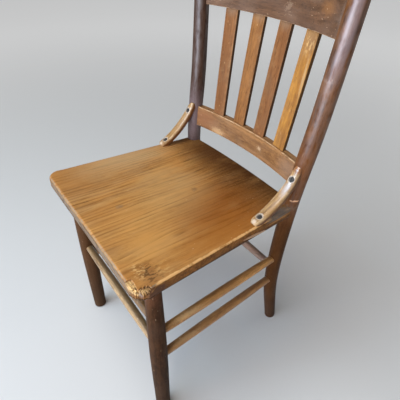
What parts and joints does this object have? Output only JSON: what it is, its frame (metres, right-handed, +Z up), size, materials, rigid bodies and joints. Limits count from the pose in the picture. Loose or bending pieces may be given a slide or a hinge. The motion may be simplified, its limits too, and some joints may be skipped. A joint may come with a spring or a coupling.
{
  "type": "slat-back side chair",
  "caption": "Oak side chair with bent round back posts, a bowed crest rail and upright slats, hip braces, a laminated seat, and turned legs joined by stretchers; seats one person.",
  "frame": {"origin": "on the floor under the middle of the whole chair's box", "axes": "+Z up, the front of the chair faces -Y, +X to the right of someone facing the back rest"},
  "size_m": [0.4106, 0.4462, 0.8794],
  "materials": {
    "seat_oak": "worn golden-brown satin varnish",
    "seat_core_oak": "bare pale cross-grain wood",
    "post_oak": "dark reddish-brown satin varnish",
    "leg_oak": "worn grey-brown satin varnish",
    "rail_oak": "mottled brown satin varnish",
    "slat_oak": "tan-brown satin varnish",
    "brace_oak": "pale worn varnish",
    "stretcher_oak": "golden-tan satin varnish",
    "screw_steel": "dull grey",
    "pin_steel": "dull grey"
  },
  "bodies": {
    "root": {"back_post_left": "post_oak", "back_post_right": "post_oak", "back_stretcher": "stretcher_oak", "brace_screw_lower_left": "screw_steel", "brace_screw_lower_right": "screw_steel", "brace_screw_upper_left": "screw_steel", "brace_screw_upper_right": "screw_steel", "crest_rail": "rail_oak", "crest_rail_pin_left": "pin_steel", "crest_rail_pin_right": "pin_steel", "front_leg_left": "leg_oak", "front_leg_right": "leg_oak", "front_stretcher_lower": "stretcher_oak", "front_stretcher_upper": "stretcher_oak", "hip_brace_left": "brace_oak", "hip_brace_right": "brace_oak", "lower_rail": "rail_oak", "lower_rail_pin_left": "pin_steel", "lower_rail_pin_right": "pin_steel", "seat_bottom_ply": "seat_oak", "seat_core": "seat_core_oak", "seat_screw_left": "screw_steel", "seat_screw_right": "screw_steel", "seat_top_ply": "seat_oak", "side_stretcher_lower_left": "stretcher_oak", "side_stretcher_lower_right": "stretcher_oak", "side_stretcher_upper_left": "stretcher_oak", "side_stretcher_upper_right": "stretcher_oak", "slat_1": "slat_oak", "slat_2": "slat_oak", "slat_3": "slat_oak", "slat_4": "slat_oak"}
  },
  "joints": []
}
